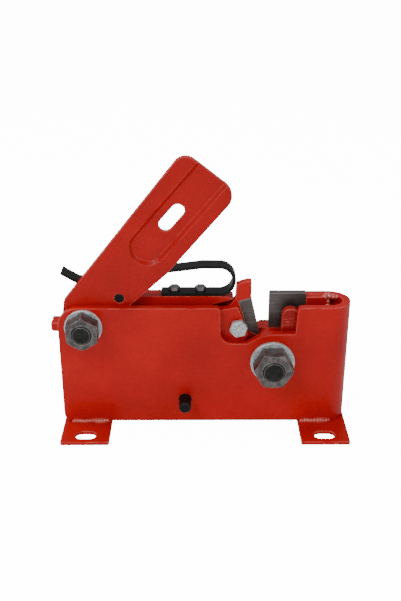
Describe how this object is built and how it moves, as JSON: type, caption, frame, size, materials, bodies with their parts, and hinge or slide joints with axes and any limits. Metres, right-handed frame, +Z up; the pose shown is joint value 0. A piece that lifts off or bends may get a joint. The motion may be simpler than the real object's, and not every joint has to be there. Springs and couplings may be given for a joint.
{
  "type": "metal shear",
  "caption": "Hand-operated bench shear for round bar, with a bent plate frame, hinged jaw, square blades, spring-loaded push link and lever head.",
  "frame": {"origin": "centre of the whole object's footprint, at the underside of the foot plates", "axes": "+X along the frame towards the bend and the fixed blade, +Z up, front with the nuts faces -Y"},
  "size_m": [0.295, 0.118, 0.2783],
  "materials": {
    "red_paint": "glossy red paint with worn edges",
    "blade_steel": "ground tool steel",
    "dark_steel": "dark oiled steel",
    "zinc_plate": "dull zinc plating",
    "black_oxide": "satin black oxide"
  },
  "bodies": {
    "frame": {"frame_body": "red_paint", "foot_plate_left": "red_paint", "foot_plate_right": "red_paint", "fixed_backing_plate": "red_paint", "fixed_blade": "blade_steel", "fixed_blade_screw": "black_oxide", "support_lug": "red_paint", "stop_block": "red_paint", "tie_pin": "black_oxide", "lever_pivot_bolt": "black_oxide", "lever_pivot_nut": "dark_steel", "lever_pivot_washer_front": "dark_steel", "lever_pivot_washer_rear": "dark_steel", "lever_pivot_spacer": "dark_steel", "main_pivot_bolt": "black_oxide", "main_pivot_nut": "dark_steel", "main_pivot_washer_front": "zinc_plate", "main_pivot_washer_rear": "zinc_plate", "main_pivot_spacer": "dark_steel"},
    "lever": {"lever_head": "red_paint", "head_pin": "black_oxide"},
    "jaw": {"moving_jaw": "red_paint", "moving_blade": "blade_steel", "blade_clamp_plate": "red_paint", "blade_clamp_bolt": "zinc_plate", "jaw_bush": "dark_steel"},
    "link": {"push_link": "red_paint", "leaf_spring": "black_oxide", "spring_screw_1": "dark_steel", "spring_screw_2": "dark_steel"}
  },
  "joints": [
    {"name": "lever_pivot", "type": "hinge", "parent": "frame", "child": "lever", "pos_m": [-0.1144, 0, 0.112], "axis": [0, 1, 0], "range_deg": [0, 27]},
    {"name": "jaw_pivot", "type": "hinge", "parent": "frame", "child": "jaw", "pos_m": [0.0708, 0, 0.0735], "axis": [0, 1, 0], "range_deg": [0, 20.25]},
    {"name": "link_pivot", "type": "hinge", "parent": "jaw", "child": "link", "pos_m": [0.0328, 0, 0.1338], "axis": [0, 1, 0], "range_deg": [-24.3, 0]}
  ],
  "couplings": [
    {"joint": "jaw_pivot", "follows": "lever_pivot", "ratio": 0.75},
    {"joint": "link_pivot", "follows": "lever_pivot", "ratio": -0.9}
  ]
}
